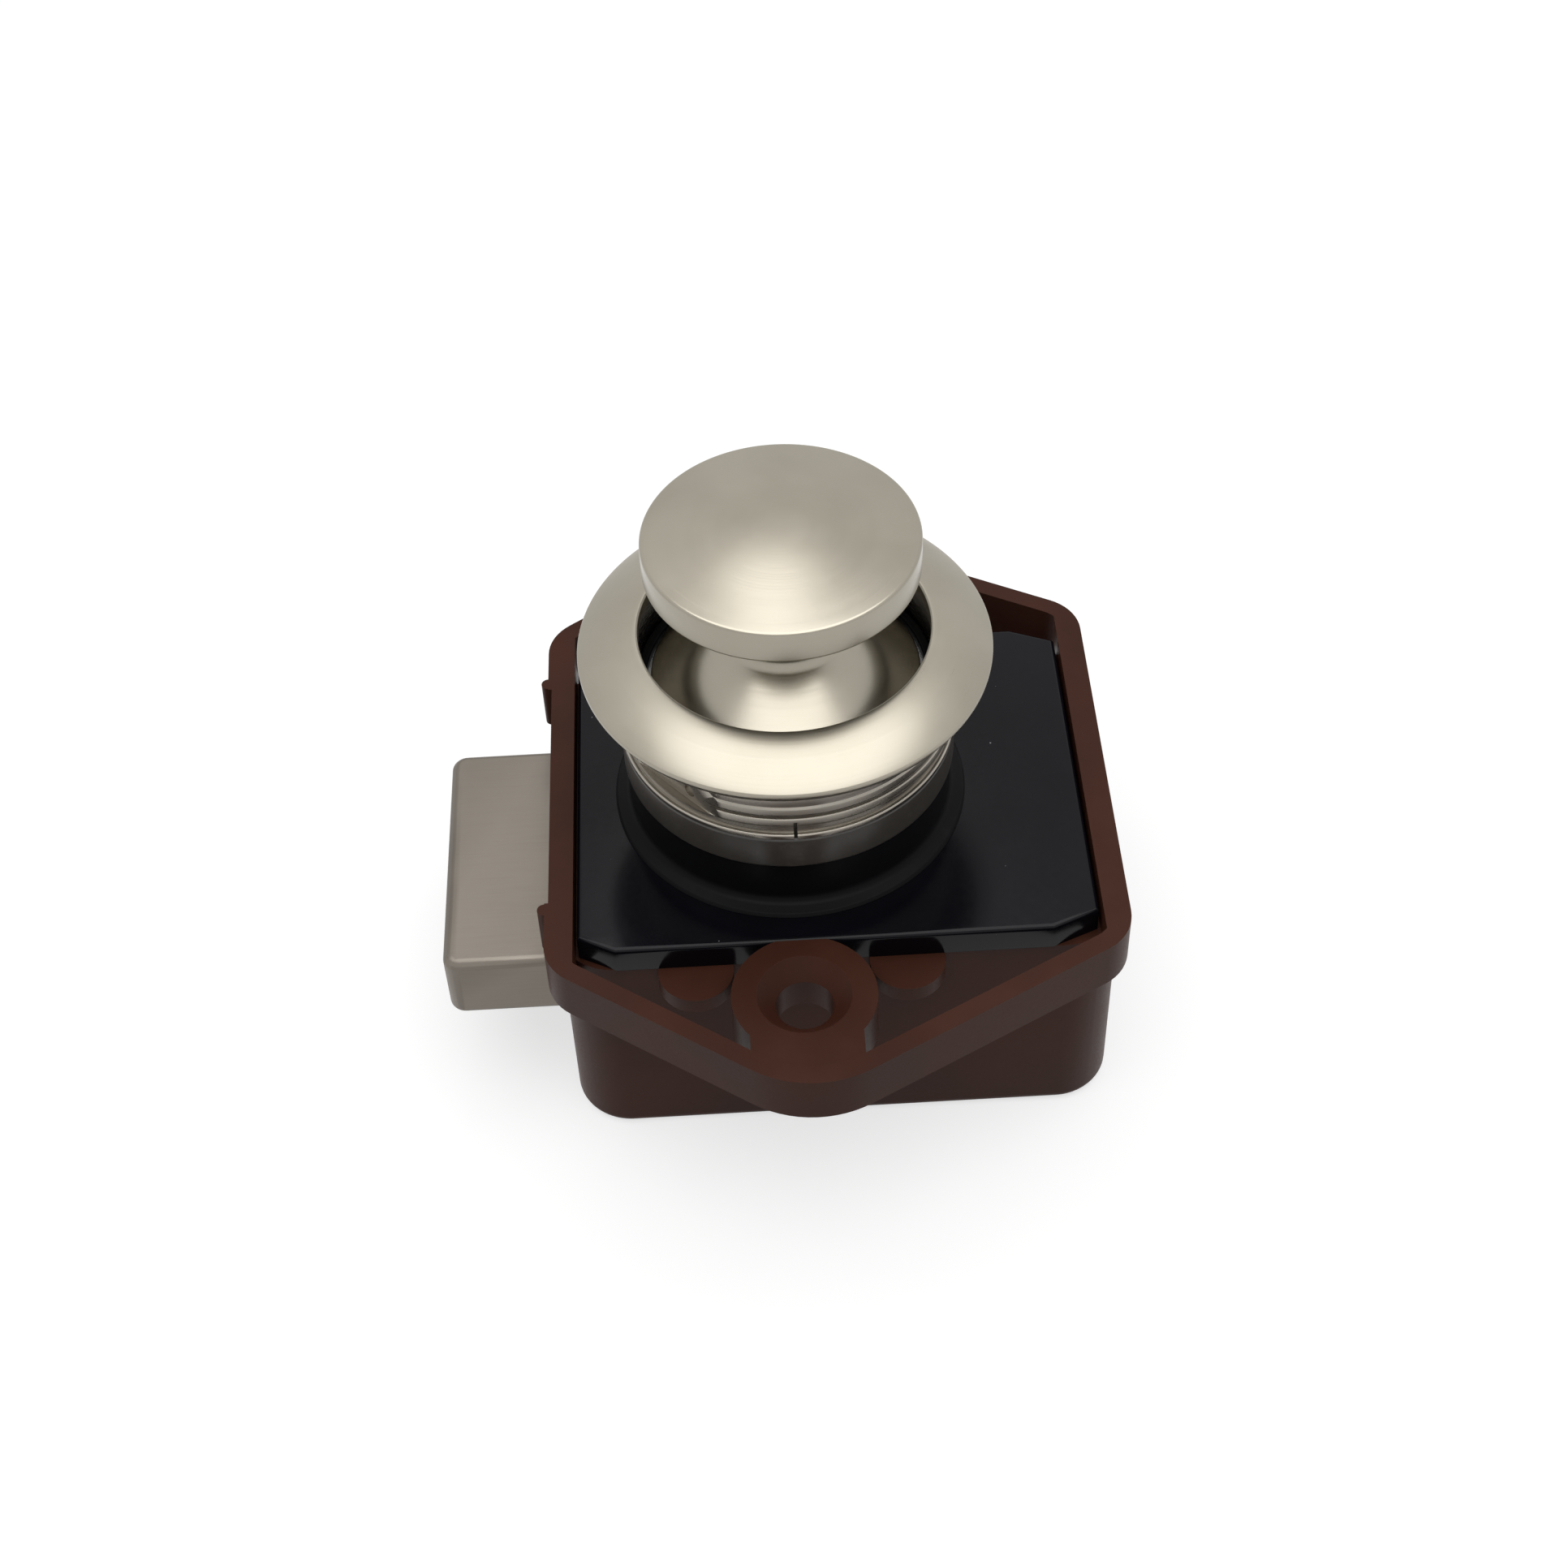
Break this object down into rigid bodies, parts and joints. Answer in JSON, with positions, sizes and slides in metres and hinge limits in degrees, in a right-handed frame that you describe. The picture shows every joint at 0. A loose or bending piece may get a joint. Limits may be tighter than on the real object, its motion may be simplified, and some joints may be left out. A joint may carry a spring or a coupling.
{
  "type": "push button cabinet lock",
  "caption": "Cabinet lock with a pull-and-press knob in a round rosette, a flanged plastic case for screwing behind a door, and a sliding bolt that the knob draws in.",
  "frame": {"origin": "on the knob axis, which is the axis of the hole through the door, in the plane of the case rim that bears on the inside of the door", "axes": "+Z along the knob axis, out of the door towards the knob; the bolt leaves the case along -X; the two fixing holes stand along Y"},
  "size_m": [0.0535, 0.0596, 0.0503],
  "materials": {
    "case_plastic": "satin moulded",
    "black_gloss": "gloss",
    "satin_nickel": "satin nickel",
    "bolt_metal": "satin cast metal",
    "steel": "zinc plated",
    "spring_steel": "drawn wire",
    "inner_plastic": "moulded"
  },
  "bodies": {
    "case": {"housing": "case_plastic", "cover_plate": "black_gloss", "cover_screws": "steel", "collar": "black_gloss", "adjusting_ring": "black_gloss", "snap_ring": "steel", "rosette": "satin_nickel", "spring_washer": "steel", "knob_spring": "spring_steel", "bolt_spring_front": "spring_steel", "bolt_spring_back": "spring_steel"},
    "knob": {"knob": "satin_nickel", "knob_stud": "steel", "cross_pin": "steel", "plunger": "inner_plastic"},
    "bolt": {"bolt": "bolt_metal"}
  },
  "joints": [
    {"name": "knob_press", "type": "slide", "parent": "case", "child": "knob", "axis": [0, 0, -1], "range_m": [0, 0.009], "stiffness_N_per_m": 400, "springref_m": -0.006, "deforming": ["knob_spring"]},
    {"name": "bolt_slide", "type": "slide", "parent": "case", "child": "bolt", "axis": [1, 0, 0], "range_m": [0, 0.009], "stiffness_N_per_m": 300, "springref_m": -0.006, "deforming": ["bolt_spring_front", "bolt_spring_back"]}
  ],
  "couplings": [
    {"joint": "bolt_slide", "follows": "knob_press", "ratio": 1}
  ]
}
